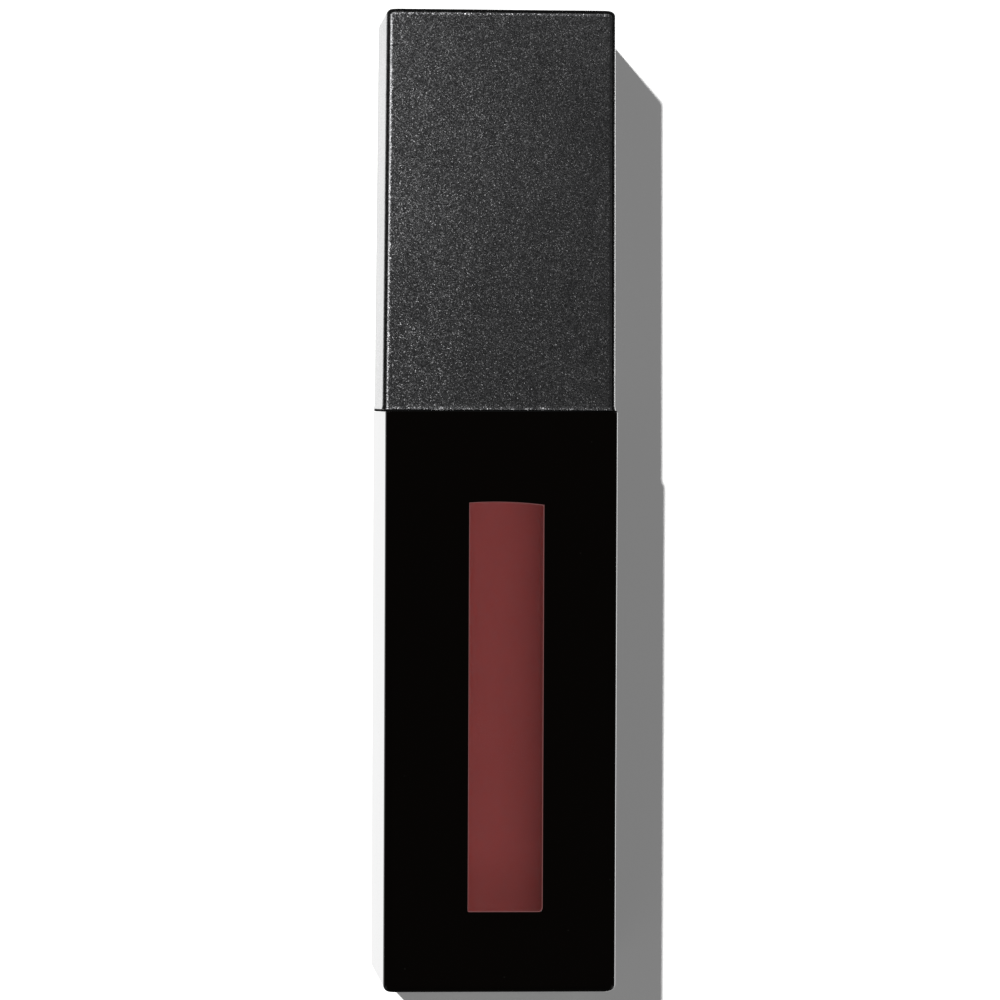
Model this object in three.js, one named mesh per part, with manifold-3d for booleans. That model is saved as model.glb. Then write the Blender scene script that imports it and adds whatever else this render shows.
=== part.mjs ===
// A square lip colour tube: a black bottle with a tall window, and a metallic screw cap with its wand.
// Millimetres, +Z up. The origin is the middle of the base, and the window faces -Y.
import * as THREE from "three";
import { mergeVertices } from "three/addons/utils/BufferGeometryUtils.js";
import Module from "manifold-3d";

const wasm = await Module();
wasm.setup();

// ---- Driving dimensions ----

// Bottle sleeve: the black square case, open at the top
const bottleWidth = 20;
const bottleHeight = 50.15;
const sleeveWall = 1;
const sleeveFloor = 1.5;
const longEdgeRadius = 0.4;
const heelRadius = 0.7;
const sleeveRimRadius = 0.15;
const innerCornerRadius = 0.8;

// Window in the front wall
const windowWidth = 6.5;
const windowBottom = 6.85;
const windowTopMargin = 7.75;
const windowArch = 0.2;
const windowCornerRadius = 0.3;
const windowOffset = 0.46;
const lensRecess = 0.03;

// Vial: an oval clear bottle inside the sleeve, with a round threaded neck
const chamberRadius = 4.6;
const vialWall = 1;
const vialFloor = 1.6;
const vialRoof = 1.3;
const neckBoreRadius = 4.4;
const neckWall = 1.2;
const neckHeight = 11.85;

// Thread: rounded ridges, a little short of meeting
const threadPitch = 3.175;
const threadTurns = 1.25;
const threadStart = 3.2;
const threadRidgeRadius = 0.7;
const neckRidgeHeight = 0.75;
const capRidgeHeight = 0.55;

// Shoulder plate, which closes the sleeve round the neck
const shoulderThickness = 2.2;

// Seat ring on the sleeve floor, round the foot of the vial
const seatRingHeight = 2.4;
const seatRingWall = 0.9;

// Lip colour in the chamber: the air above it, and the floor of the well that the wand stands in
const colourHeadroom = 1.85;
const wellFloor = 2.35;

// Wiper in the neck
const wiperWall = 0.9;
const wiperFlangeThickness = 0.6;
const wiperSleeveLength = 6.4;
const wiperTaperLength = 4.2;
const wiperLip = 0.4;

// Sealing liner in the roof of the cap
const linerThickness = 0.8;

// Cap shell
const capInset = 0.02;
const capDraft = 0.155;
const capLength = 34.53;
const capWall = 1.1;
const capTopWall = 1.5;
const capTopRadius = 0.35;
const capRimChamfer = 0.12;

// Inner cap: thread, roof, wand socket and centring ribs
const innerCapRecess = 0.5;
const innerCapRoof = 1.5;
const innerCapFlange = 1.5;
const socketWall = 1.5;
const socketHeight = 7;
const ribThickness = 1.2;
const ribHeadroom = 1.2;

// Wand
const rodRadius = 2;
const rodHeadOverhang = 0.9;
const rodHeadThickness = 1.2;
const tipAboveWell = 0.6;
const flockLength = 14.6;
const flockThickness = 0.35;
const flockOversize = 0.05;
const corePlugLength = 4.6;
const corePlugRadius = 1.15;
const slantLength = 6.4;

// Base label
const labelWidth = 14;
const labelThickness = 0.15;

// Clearances
const faceGap = 0.02;
const capGap = 0.12;
const seatGap = 0.05;
const lensGap = 0.03;
const vialGap = 0.1;
const threadClearance = 0.1;
const wiperClearance = 0.15;
const wellClearance = 0.2;
const linerGap = 0.3;
const shellGap = 0.1;

// How far a cutter runs past what it cuts, and how far joined shapes reach into each other
const overrun = 1;
const weld = 0.5;

// How finely round shapes are divided
const roundSteps = 48;
const cornerSteps = 3;
const edgeSteps = 4;
const threadSteps = 36;
const threadSides = 8;

// ---- Sizes that follow from them ----

const bottleHalf = bottleWidth / 2;
const windowTop = bottleHeight - windowTopMargin;
const sleeveInnerHalf = bottleHalf - sleeveWall;

const vialRadius = chamberRadius + vialWall;
const vialHalfDepth = sleeveInnerHalf - vialGap;
const chamberSpread = vialHalfDepth - vialRadius;
const vialBottom = sleeveFloor + vialGap;
const chamberBottom = vialBottom + vialFloor;
const shoulderBottom = bottleHeight - shoulderThickness;
const vialTop = shoulderBottom - seatGap;
const chamberTop = vialTop - vialRoof;
const colourLevel = chamberTop - colourHeadroom;
const wellBottom = chamberBottom + wellFloor;

const neckRadius = neckBoreRadius + neckWall;
const neckTop = bottleHeight + neckHeight;
const neckCrest = neckRadius + neckRidgeHeight;
const neckThreadBottom = bottleHeight + threadStart;

const wiperOuter = neckBoreRadius - seatGap;
const wiperBore = wiperOuter - wiperWall;
const wiperOrifice = rodRadius + wiperClearance;
const wiperFlangeBottom = neckTop + faceGap;
const wiperFlangeTop = wiperFlangeBottom + wiperFlangeThickness;
const wiperTaperTop = neckTop - wiperSleeveLength;
const wiperLipBottom = wiperTaperTop - wiperTaperLength;

const linerBottom = wiperFlangeTop + seatGap;
const linerTop = linerBottom + linerThickness;

const capBottom = bottleHeight + capGap;
const capTop = capBottom + capLength;
const capMouthHalf = bottleHalf - capInset;
const capTopHalf = capMouthHalf - capDraft;
const capCavityTop = capTop - capTopWall;

const innerCapBottom = capBottom + innerCapRecess;
const innerCapCrest = neckCrest + threadClearance;
const innerCapBore = innerCapCrest + capRidgeHeight;
const innerCapOuter = capTopHalf - capWall - 3 * shellGap;
const roofBottom = linerTop + seatGap;
const roofTop = roofBottom + innerCapRoof;
const socketTop = roofTop + socketHeight;
const socketRadius = rodRadius + socketWall;
const ribTop = capCavityTop - ribHeadroom;

const rodHeadBottom = socketTop + seatGap;
const rodHeadTop = rodHeadBottom + rodHeadThickness;
const tipHeight = wellBottom + tipAboveWell;
const rodBottom = tipHeight + flockLength + seatGap;
const flockRadius = rodRadius + flockOversize;
const coreRadius = flockRadius - flockThickness - seatGap;
const wellRadius = rodRadius + wiperClearance + wellClearance;

// ---- Helpers ----

// A closed three.js geometry as a manifold-3d solid, ready to be cut or joined.
function solidOf(geometry) {
  const bare = geometry.index ? geometry.toNonIndexed() : geometry.clone();
  bare.deleteAttribute("normal");
  bare.deleteAttribute("uv");
  const merged = mergeVertices(bare, 1e-4);
  return new wasm.Manifold(
    new wasm.Mesh({
      numProp: 3,
      vertProperties: merged.attributes.position.array,
      triVerts: new Uint32Array(merged.index.array),
    }),
  );
}

// A manifold-3d solid back as a three.js geometry.
function geometryOf(solid) {
  const mesh = solid.getMesh();
  const geometry = new THREE.BufferGeometry();
  geometry.setAttribute("position", new THREE.BufferAttribute(mesh.vertProperties, 3));
  geometry.setIndex(new THREE.BufferAttribute(mesh.triVerts, 1));
  geometry.computeVertexNormals();
  return geometry;
}

// A profile of [radius, height] points turned about Z. It runs anticlockwise with Z up, and it
// either starts and ends on the axis or is closed by repeating its first point.
function turned(profile) {
  const points = profile.map(([radius, height]) => new THREE.Vector2(radius, height));
  return new THREE.LatheGeometry(points, roundSteps).rotateX(Math.PI / 2);
}

// A turned ring: the same, with a profile that closes on itself away from the axis.
function turnedRing(profile) {
  return turned([...profile, profile[0]]);
}

// A plain cylinder about Z, as a cutter or a core.
function cylinder(radius, bottom, top) {
  return turned([
    [0, bottom],
    [radius, bottom],
    [radius, top],
    [0, top],
  ]);
}

// The outline of a square with rounded corners, anticlockwise from above.
function squareOutline(half, radius) {
  const centre = half - radius;
  const shape = new THREE.Shape();
  shape.absarc(centre, centre, radius, 0, Math.PI / 2);
  shape.absarc(-centre, centre, radius, Math.PI / 2, Math.PI);
  shape.absarc(-centre, -centre, radius, Math.PI, 1.5 * Math.PI);
  shape.absarc(centre, -centre, radius, 1.5 * Math.PI, 2 * Math.PI);
  return shape.getPoints(cornerSteps);
}

// A square column skinned over levels of { z, half, radius }, lowest first, with flat ends.
function squareLoft(levels) {
  const rings = levels.map(({ z, half, radius }) =>
    squareOutline(half, radius).map((p) => new THREE.Vector3(p.x, p.y, z)),
  );
  const corners = [];
  const count = rings[0].length;
  for (let level = 1; level < rings.length; level++) {
    for (let i = 0; i < count; i++) {
      const next = (i + 1) % count;
      const [low, high] = [rings[level - 1], rings[level]];
      corners.push(low[i], low[next], high[next], low[i], high[next], high[i]);
    }
  }
  const [bottom, top] = [rings[0], rings[rings.length - 1]];
  const bottomMiddle = new THREE.Vector3(0, 0, bottom[0].z);
  const topMiddle = new THREE.Vector3(0, 0, top[0].z);
  for (let i = 0; i < count; i++) {
    const next = (i + 1) % count;
    corners.push(bottomMiddle, bottom[next], bottom[i]);
    corners.push(topMiddle, top[i], top[next]);
  }
  return new THREE.BufferGeometry().setFromPoints(corners);
}

// The levels of a quarter-round edge at the foot of a square column.
function roundedFoot(z, half, radius, cornerRadius) {
  return Array.from({ length: edgeSteps + 1 }, (_, i) => {
    const angle = (i / edgeSteps) * (Math.PI / 2);
    return {
      z: z + radius * (1 - Math.cos(angle)),
      half: half - radius * (1 - Math.sin(angle)),
      radius: cornerRadius,
    };
  });
}

// The levels of a quarter-round edge at the head of a square column.
function roundedHead(z, half, radius, cornerRadius) {
  return roundedFoot(0, half, radius, cornerRadius)
    .reverse()
    .map((level) => ({ ...level, z: z - level.z }));
}

// A rectangular block between two opposite corners.
function block(low, high) {
  const size = new THREE.Vector3().subVectors(high, low);
  const middle = new THREE.Vector3().addVectors(low, high).multiplyScalar(0.5);
  return new THREE.BoxGeometry(size.x, size.y, size.z).translate(middle.x, middle.y, middle.z);
}

// An upright oval column: two half circles, spread apart along Y.
function ovalColumn(radius, spread, bottom, top) {
  const shape = new THREE.Shape();
  shape.absarc(0, spread, radius, 0, Math.PI);
  shape.absarc(0, -spread, radius, Math.PI, 2 * Math.PI);
  const options = { depth: top - bottom, bevelEnabled: false, curveSegments: roundSteps / 4 };
  return new THREE.ExtrudeGeometry(shape, options).translate(0, 0, bottom);
}

// The window's outline, pushed through the front wall: flat below, gently arched above.
function windowColumn(gap, front, back) {
  const half = windowWidth / 2 - gap;
  const corner = windowCornerRadius;
  const bottom = windowBottom + gap;
  const archRadius = (half * half + windowArch * windowArch) / (2 * windowArch);
  const archCentre = windowTop - gap - archRadius;
  const archAngle = Math.asin(half / archRadius);
  const shape = new THREE.Shape();
  shape.absarc(half - corner, bottom + corner, corner, 1.5 * Math.PI, 2 * Math.PI);
  shape.absarc(0, archCentre, archRadius, Math.PI / 2 - archAngle, Math.PI / 2 + archAngle);
  shape.absarc(corner - half, bottom + corner, corner, Math.PI, 1.5 * Math.PI);
  const options = { depth: back - front, bevelEnabled: false, curveSegments: 6 };
  const column = new THREE.ExtrudeGeometry(shape, options).rotateX(Math.PI / 2);
  return column.translate(windowOffset, back, 0);
}

// A right-hand helix about Z.
class Helix extends THREE.Curve {
  constructor(radius, bottom) {
    super();
    this.radius = radius;
    this.bottom = bottom;
  }

  getPoint(t, target = new THREE.Vector3()) {
    const angle = 2 * Math.PI * threadTurns * t;
    const height = this.bottom + threadPitch * threadTurns * t;
    return target.set(this.radius * Math.cos(angle), this.radius * Math.sin(angle), height);
  }
}

// A round thread ridge that follows a helix.
function threadRidge(radius, bottom) {
  const section = new THREE.Shape();
  section.absarc(0, 0, threadRidgeRadius, 0, 2 * Math.PI);
  const options = {
    steps: threadSteps,
    curveSegments: threadSides / 2,
    bevelEnabled: false,
    extrudePath: new Helix(radius, bottom),
  };
  return new THREE.ExtrudeGeometry(section, options);
}

// ---- Bottle ----

// The low oval ring on the sleeve floor that holds the foot of the vial.
function vialSeat() {
  const inner = vialRadius + vialGap;
  const bottom = sleeveFloor - weld;
  const top = sleeveFloor + seatRingHeight;
  const half = sleeveInnerHalf + weld / 2;
  const ring = ovalColumn(inner + seatRingWall, chamberSpread, bottom, top);
  const insideSleeve = squareLoft([
    { z: bottom, half, radius: innerCornerRadius },
    { z: top, half, radius: innerCornerRadius },
  ]);
  const hole = ovalColumn(inner, chamberSpread, sleeveFloor, top + overrun);
  return solidOf(ring).intersect(solidOf(insideSleeve)).subtract(solidOf(hole));
}

function bottleSleeve() {
  const outside = squareLoft([
    ...roundedFoot(0, bottleHalf, heelRadius, longEdgeRadius),
    ...roundedHead(bottleHeight, bottleHalf, sleeveRimRadius, longEdgeRadius),
  ]);
  const inside = squareLoft([
    { z: sleeveFloor, half: sleeveInnerHalf, radius: innerCornerRadius },
    { z: bottleHeight + overrun, half: sleeveInnerHalf, radius: innerCornerRadius },
  ]);
  const labelHalf = labelWidth / 2 + seatGap;
  const labelRecess = block(
    new THREE.Vector3(-labelHalf, -labelHalf, -overrun),
    new THREE.Vector3(labelHalf, labelHalf, labelThickness + seatGap),
  );
  const window = windowColumn(0, -bottleHalf - overrun, weld - sleeveInnerHalf);
  return geometryOf(
    solidOf(outside)
      .subtract(solidOf(inside))
      .add(vialSeat())
      .subtract(solidOf(window))
      .subtract(solidOf(labelRecess)),
  );
}

function baseLabel() {
  const half = labelWidth / 2;
  return block(
    new THREE.Vector3(-half, -half, seatGap / 2),
    new THREE.Vector3(half, half, seatGap / 2 + labelThickness),
  );
}

function windowLens() {
  return windowColumn(lensGap, lensRecess - bottleHalf, -sleeveInnerHalf);
}

function vial() {
  const outside = ovalColumn(vialRadius, chamberSpread, vialBottom, vialTop);
  const neck = cylinder(neckRadius, vialTop - weld, neckTop);
  const ridge = threadRidge(neckCrest - threadRidgeRadius, neckThreadBottom);
  const chamber = ovalColumn(chamberRadius, chamberSpread, chamberBottom, chamberTop);
  const bore = cylinder(neckBoreRadius, chamberTop - weld, neckTop + overrun);
  return geometryOf(
    solidOf(outside)
      .add(solidOf(neck))
      .add(solidOf(ridge))
      .subtract(solidOf(chamber))
      .subtract(solidOf(bore)),
  );
}

function lipColour() {
  const column = ovalColumn(
    chamberRadius - seatGap,
    chamberSpread,
    chamberBottom + seatGap,
    colourLevel,
  );
  const well = cylinder(wellRadius, wellBottom, colourLevel + overrun);
  return geometryOf(solidOf(column).subtract(solidOf(well)));
}

function shoulderPlate() {
  const half = sleeveInnerHalf - seatGap;
  const plate = squareLoft([
    { z: shoulderBottom, half, radius: innerCornerRadius },
    ...roundedHead(bottleHeight, half, sleeveRimRadius, innerCornerRadius),
  ]);
  const hole = cylinder(neckRadius + seatGap, shoulderBottom - overrun, bottleHeight + overrun);
  return geometryOf(solidOf(plate).subtract(solidOf(hole)));
}

function wiper() {
  return turnedRing([
    [wiperOrifice, wiperLipBottom],
    [wiperOrifice + wiperLip, wiperLipBottom],
    [wiperOuter, wiperTaperTop],
    [wiperOuter, wiperFlangeBottom],
    [neckRadius - seatGap, wiperFlangeBottom],
    [neckRadius - seatGap, wiperFlangeTop],
    [wiperBore, wiperFlangeTop],
    [wiperBore, wiperTaperTop],
  ]);
}

// ---- Cap and wand ----

function sealingLiner() {
  const inner = rodRadius + linerGap;
  const outer = innerCapCrest - linerGap;
  return turnedRing([
    [inner, linerBottom],
    [outer, linerBottom],
    [outer, linerTop],
    [inner, linerTop],
  ]);
}

function capShell() {
  const cavityMouthHalf = capMouthHalf - capWall;
  const cavityTopHalf = capTopHalf - capWall;
  const outside = squareLoft([
    { z: capBottom, half: capMouthHalf - capRimChamfer, radius: longEdgeRadius },
    { z: capBottom + capRimChamfer, half: capMouthHalf, radius: longEdgeRadius },
    ...roundedHead(capTop, capTopHalf, capTopRadius, longEdgeRadius),
  ]);
  const inside = squareLoft([
    { z: capBottom - overrun, half: cavityMouthHalf, radius: innerCornerRadius },
    { z: capCavityTop, half: cavityTopHalf, radius: innerCornerRadius },
  ]);
  return geometryOf(solidOf(outside).subtract(solidOf(inside)));
}

function innerCap() {
  const body = turnedRing([
    [innerCapBore, innerCapBottom],
    [innerCapOuter, innerCapBottom],
    [innerCapOuter, roofTop],
    [socketRadius, roofTop],
    [socketRadius, socketTop],
    [rodRadius + seatGap, socketTop],
    [rodRadius + seatGap, roofBottom],
    [innerCapBore, roofBottom],
  ]);
  const flangeHalf = capTopHalf - capWall - shellGap;
  const flange = squareLoft([
    { z: innerCapBottom, half: flangeHalf, radius: innerCornerRadius },
    { z: innerCapBottom + innerCapFlange, half: flangeHalf, radius: innerCornerRadius },
  ]);
  const flangeHole = cylinder(
    (innerCapBore + innerCapOuter) / 2,
    innerCapBottom - overrun,
    innerCapBottom + innerCapFlange + overrun,
  );
  const ridgeBottom = neckThreadBottom + threadPitch / 2;
  const ridge = threadRidge(innerCapCrest + threadRidgeRadius, ridgeBottom);
  const ridgeLimit = cylinder(innerCapOuter, innerCapBottom, roofTop);
  let made = solidOf(body)
    .add(solidOf(flange).subtract(solidOf(flangeHole)))
    .add(solidOf(ridge).intersect(solidOf(ridgeLimit)));
  for (let side = 0; side < 4; side++) {
    const rib = block(
      new THREE.Vector3(socketRadius - weld / 2, -ribThickness / 2, roofTop - weld),
      new THREE.Vector3(flangeHalf, ribThickness / 2, ribTop),
    ).rotateZ((side * Math.PI) / 2);
    made = made.add(solidOf(rib));
  }
  return geometryOf(made);
}

function applicatorRod() {
  const socketEnd = rodBottom + corePlugLength + 4 * seatGap;
  const bore = corePlugRadius + seatGap;
  return turned([
    [0, socketEnd],
    [bore, socketEnd],
    [bore, rodBottom],
    [rodRadius, rodBottom],
    [rodRadius, rodHeadBottom],
    [rodRadius + rodHeadOverhang, rodHeadBottom],
    [rodRadius + rodHeadOverhang, rodHeadTop],
    [0, rodHeadTop],
  ]);
}

// A round-nosed finger about Z, from its tip up to a flat top.
function finger(radius, tip, top) {
  const nose = Array.from({ length: edgeSteps + 1 }, (_, i) => {
    const angle = (i / edgeSteps) * (Math.PI / 2);
    return [radius * Math.sin(angle), tip + radius * (1 - Math.cos(angle))];
  });
  return turned([...nose, [radius, top], [0, top]]);
}

// The slanted cut across the tip of the wand, moved inwards by an offset square to the slant.
function slantCutter(offset) {
  const size = 4 * slantLength;
  const angle = Math.atan2(slantLength, 2 * flockRadius);
  return new THREE.BoxGeometry(size, size, size)
    .translate(0, 0, -size / 2 + offset)
    .rotateX(-angle)
    .translate(0, 0, tipHeight + slantLength / 2);
}

function applicatorCore() {
  const tip = tipHeight + flockThickness + seatGap;
  const body = finger(coreRadius, tip, rodBottom - seatGap);
  const plug = cylinder(corePlugRadius, rodBottom - weld, rodBottom + corePlugLength);
  return geometryOf(
    solidOf(body)
      .subtract(solidOf(slantCutter(flockThickness + seatGap)))
      .add(solidOf(plug)),
  );
}

function applicatorFlock() {
  const top = tipHeight + flockLength;
  const outside = finger(flockRadius, tipHeight, top);
  const inside = finger(coreRadius + seatGap, tipHeight + flockThickness, top + overrun);
  return geometryOf(
    solidOf(outside)
      .subtract(solidOf(slantCutter(0)))
      .subtract(solidOf(inside).subtract(solidOf(slantCutter(flockThickness)))),
  );
}

// ---- Assembly ----

function finish(color, roughness, metalness = 0, opacity = 1) {
  return new THREE.MeshStandardMaterial({
    color,
    roughness,
    metalness,
    opacity,
    transparent: opacity < 1,
  });
}

const blackGloss = finish(0x070504, 0.12);
const gunmetal = finish(0x5a5b5e, 0.4, 0.75);
const clear = finish(0xf4f4f4, 0.05, 0, 0.35);
const roseBrown = finish(0x733736, 0.45);
const naturalPlastic = finish(0xdfdcd4, 0.5);
const blackPlastic = finish(0x161616, 0.45);
const foam = finish(0xf2f2ef, 0.85);
const softCore = finish(0xe8e0d6, 0.6);
const flock = finish(0xa8726c, 0.95);
const label = finish(0xf0f0ee, 0.6);

const tube = new THREE.Group();

function addPiece(group, name, geometry, material) {
  const piece = new THREE.Mesh(geometry, material);
  piece.name = name;
  group.add(piece);
}

const bottle = new THREE.Group();
addPiece(bottle, "bottle_sleeve", bottleSleeve(), blackGloss);
addPiece(bottle, "base_label", baseLabel(), label);
addPiece(bottle, "window_lens", windowLens(), clear);
addPiece(bottle, "vial", vial(), clear);
addPiece(bottle, "lip_colour", lipColour(), roseBrown);
addPiece(bottle, "shoulder_plate", shoulderPlate(), blackGloss);
addPiece(bottle, "wiper", wiper(), naturalPlastic);
tube.add(bottle);

const cap = new THREE.Group();
addPiece(cap, "sealing_liner", sealingLiner(), foam);
addPiece(cap, "cap_shell", capShell(), gunmetal);
addPiece(cap, "inner_cap", innerCap(), blackPlastic);
addPiece(cap, "applicator_rod", applicatorRod(), blackPlastic);
addPiece(cap, "applicator_core", applicatorCore(), softCore);
addPiece(cap, "applicator_flock", applicatorFlock(), flock);
tube.add(cap);

export default tube;
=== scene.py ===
# %% [markdown]
# # A square lip colour tube
# The lower half is a glossy black bottle with a tall window, and the upper half is a square cap with a
# metallic flake finish. Inside are a clear vial, a wiper, and a wand with a flocked doe-foot tip.
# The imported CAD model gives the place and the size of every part. This lesson builds the parts again with
# finer edges, gives each one a finish made of nodes, and lights them.

# %% Load the frame
import math

import bmesh
import bpy
from mathutils import Matrix, Vector


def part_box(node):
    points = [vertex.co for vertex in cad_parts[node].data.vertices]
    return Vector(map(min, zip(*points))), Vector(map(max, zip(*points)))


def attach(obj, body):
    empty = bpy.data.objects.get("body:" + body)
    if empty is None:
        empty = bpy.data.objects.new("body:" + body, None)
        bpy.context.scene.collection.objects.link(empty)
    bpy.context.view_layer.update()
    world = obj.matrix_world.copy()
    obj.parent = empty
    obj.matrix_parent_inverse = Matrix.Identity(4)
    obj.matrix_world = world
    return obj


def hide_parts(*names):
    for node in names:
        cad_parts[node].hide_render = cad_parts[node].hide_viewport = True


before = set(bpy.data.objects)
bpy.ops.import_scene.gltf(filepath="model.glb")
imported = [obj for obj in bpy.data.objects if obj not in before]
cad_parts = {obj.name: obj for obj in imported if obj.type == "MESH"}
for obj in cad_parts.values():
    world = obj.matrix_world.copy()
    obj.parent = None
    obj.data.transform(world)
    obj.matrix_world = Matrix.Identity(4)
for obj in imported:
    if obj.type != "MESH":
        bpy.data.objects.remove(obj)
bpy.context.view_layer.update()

MM = 0.001

# %% [markdown]
# ## The camera
# The tube lies on its back on a white surface, seen from almost straight above: half a metre away, a little
# to the left, and level with a point just above the joint between cap and bottle. A long lens keeps the
# tube's sides nearly parallel. The tube isn't laid quite straight, so the camera rolls by a quarter of a
# degree.

# %% Place the camera
CAMERA_PLACE = Vector((-37.5, -510, 51.6)) * MM
CAMERA_AIM = Vector((-0.135, -10, 42.54)) * MM
CAMERA_LENS = 209.45
CAMERA_ROLL = math.radians(0.25)

camera = bpy.data.objects.new("camera", bpy.data.cameras.new("camera"))
bpy.context.scene.collection.objects.link(camera)
sight = (CAMERA_AIM - CAMERA_PLACE).to_track_quat("-Z", "Y").to_matrix().to_4x4()
camera.matrix_world = Matrix.Translation(CAMERA_PLACE) @ sight @ Matrix.Rotation(CAMERA_ROLL, 4, "Z")
camera.data.lens = CAMERA_LENS
camera.data.clip_start = 0.01
camera.data.clip_end = 20
bpy.context.scene.camera = camera
bpy.context.scene.view_settings.view_transform = "Standard"
print("Camera distance in mm:", round((CAMERA_AIM - CAMERA_PLACE).length / MM))

# %% [markdown]
# ## Small helpers for nodes
# A finish is a tree of nodes. `add` makes one node, sets its options, and fills its inputs: an input takes
# either a number or the socket of another node. `mixed` and `spread` are the two steps that come back most.

# %% Node helpers
def add(tree, kind, inputs=None, **settings):
    """One node, with its options set and its inputs linked to a socket or set to a number."""
    made = tree.nodes.new(kind)
    for option, value in settings.items():
        setattr(made, option, value)
    for name, value in (inputs or {}).items():
        if isinstance(value, bpy.types.NodeSocket):
            tree.links.new(value, made.inputs[name])
        else:
            made.inputs[name].default_value = value
    return made


def maths(tree, operation, *values):
    """The output of one Math node."""
    return add(tree, "ShaderNodeMath", dict(enumerate(values)), operation=operation).outputs[0]


def vectors(tree, operation, *values):
    """The output of one Vector Math node."""
    return add(tree, "ShaderNodeVectorMath", dict(enumerate(values)), operation=operation).outputs[0]


def spread(tree, value, low, high, from_low=0.0, from_high=1.0):
    """A value carried from one range to another."""
    ranges = {"From Min": from_low, "From Max": from_high, "To Min": low, "To Max": high}
    return add(tree, "ShaderNodeMapRange", {"Value": value, **ranges}).outputs[0]


def mixed(tree, factor, first, second):
    """A colour between two colours."""
    return add(tree, "ShaderNodeMix", {0: factor, 6: first, 7: second}, data_type="RGBA").outputs[2]


def new_group(name, inputs, outputs):
    """An empty shader node group, with its input and output nodes."""
    group = bpy.data.node_groups.new(name, "ShaderNodeTree")
    for label, value in inputs.items():
        socket = group.interface.new_socket(label, in_out="INPUT", socket_type="NodeSocketFloat")
        socket.default_value = value
    for label, kind in outputs.items():
        group.interface.new_socket(label, in_out="OUTPUT", socket_type=kind)
    return group, group.nodes.new("NodeGroupInput").outputs, group.nodes.new("NodeGroupOutput").inputs


def use_group(tree, group, **values):
    """A node group placed in a material with its own values; its outputs come back by name."""
    made = tree.nodes.new("ShaderNodeGroup")
    made.node_tree = group
    for name, value in values.items():
        made.inputs[name.replace("_", " ")].default_value = value
    return made.outputs


def new_finish(name, colour, roughness, **settings):
    """A material with a Principled shader; the tree and the shader come back with it."""
    material = bpy.data.materials.new(name)
    material.use_nodes = True
    tree = material.node_tree
    tree.nodes.clear()
    values = {label.replace("_", " "): value for label, value in settings.items()}
    shader = add(tree, "ShaderNodeBsdfPrincipled", {"Base Color": colour, "Roughness": roughness, **values})
    add(tree, "ShaderNodeOutputMaterial", {"Surface": shader.outputs[0]})
    return material, tree, shader


def object_noise(tree, scale, detail):
    """Noise that keeps its place on a part."""
    place = add(tree, "ShaderNodeTexCoord").outputs["Object"]
    return add(tree, "ShaderNodeTexNoise", {"Vector": place, "Scale": scale, "Detail": detail}).outputs["Fac"]


def painted(tree, shader, factor, first, second):
    """A base colour that runs between two colours."""
    tree.links.new(mixed(tree, factor, first, second), shader.inputs["Base Color"])


def bumped(tree, shader, height, strength, distance):
    """A fine relief from a height."""
    bump = add(tree, "ShaderNodeBump", {"Height": height, "Strength": strength, "Distance": distance})
    tree.links.new(bump.outputs[0], shader.inputs["Normal"])


def blended(tree, factor, shader, other):
    """A surface that goes from one shader to another."""
    blend = add(tree, "ShaderNodeMixShader", {0: factor, 1: shader.outputs[0], 2: other.outputs[0]})
    output = next(made for made in tree.nodes if made.bl_idname == "ShaderNodeOutputMaterial")
    tree.links.new(blend.outputs[0], output.inputs["Surface"])


# %% [markdown]
# ## Effects as node groups
# Three effects are node groups, built once and placed in a material with its own values. Handling comes back
# on most parts. Flake and dust serve one finish each, and keep it short to read. All three read Object
# coordinates, because every part sits at the origin with its place in its mesh.
# - Flake: cells less than a tenth of a millimetre across, each tilted its own way. Metal pigment in lacquer
#   does this, and a tilted normal makes each cell catch a different piece of the light.
# - Handling: a slow, cloudy change in roughness, as left by moulding and by fingers.
# - Dust: sparse small specks, as a mask.

# %% Flake group
flake_group, given, result = new_group(
    "flake",
    {"Cells per Metre": 11000.0, "Tilt": 0.3},
    {"Normal": "NodeSocketVector", "Tone": "NodeSocketFloat"},
)
place = add(flake_group, "ShaderNodeTexCoord").outputs["Object"]
cells = add(
    flake_group, "ShaderNodeTexVoronoi", {"Vector": place, "Scale": given["Cells per Metre"]}, feature="F1"
)
lean = vectors(flake_group, "SUBTRACT", cells.outputs["Color"], (0.5, 0.5, 0.5))
lean = vectors(flake_group, "MULTIPLY", lean, given["Tilt"])
surface = add(flake_group, "ShaderNodeNewGeometry").outputs["Normal"]
tilted = vectors(flake_group, "NORMALIZE", vectors(flake_group, "ADD", surface, lean))
flake_group.links.new(tilted, result["Normal"])
tone = add(flake_group, "ShaderNodeSeparateColor", {"Color": cells.outputs["Color"]}).outputs["Green"]
flake_group.links.new(tone, result["Tone"])
print("Node group:", flake_group.name)

# %% Handling group
handling_group, given, result = new_group(
    "handling",
    {"Clouds per Metre": 180.0, "Low": 0.1, "High": 0.2},
    {"Roughness": "NodeSocketFloat"},
)
place = add(handling_group, "ShaderNodeTexCoord").outputs["Object"]
clouds = add(
    handling_group,
    "ShaderNodeTexNoise",
    {"Vector": place, "Scale": given["Clouds per Metre"], "Detail": 4.0, "Roughness": 0.6},
)
smeared = spread(handling_group, clouds.outputs["Fac"], given["Low"], given["High"], 0.3, 0.7)
handling_group.links.new(smeared, result["Roughness"])
print("Node group:", handling_group.name)


def handled(tree, shader, clouds, low, high):
    """A roughness that drifts between two values."""
    smear = use_group(tree, handling_group, Clouds_per_Metre=clouds, Low=low, High=high)
    tree.links.new(smear["Roughness"], shader.inputs["Roughness"])


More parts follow.
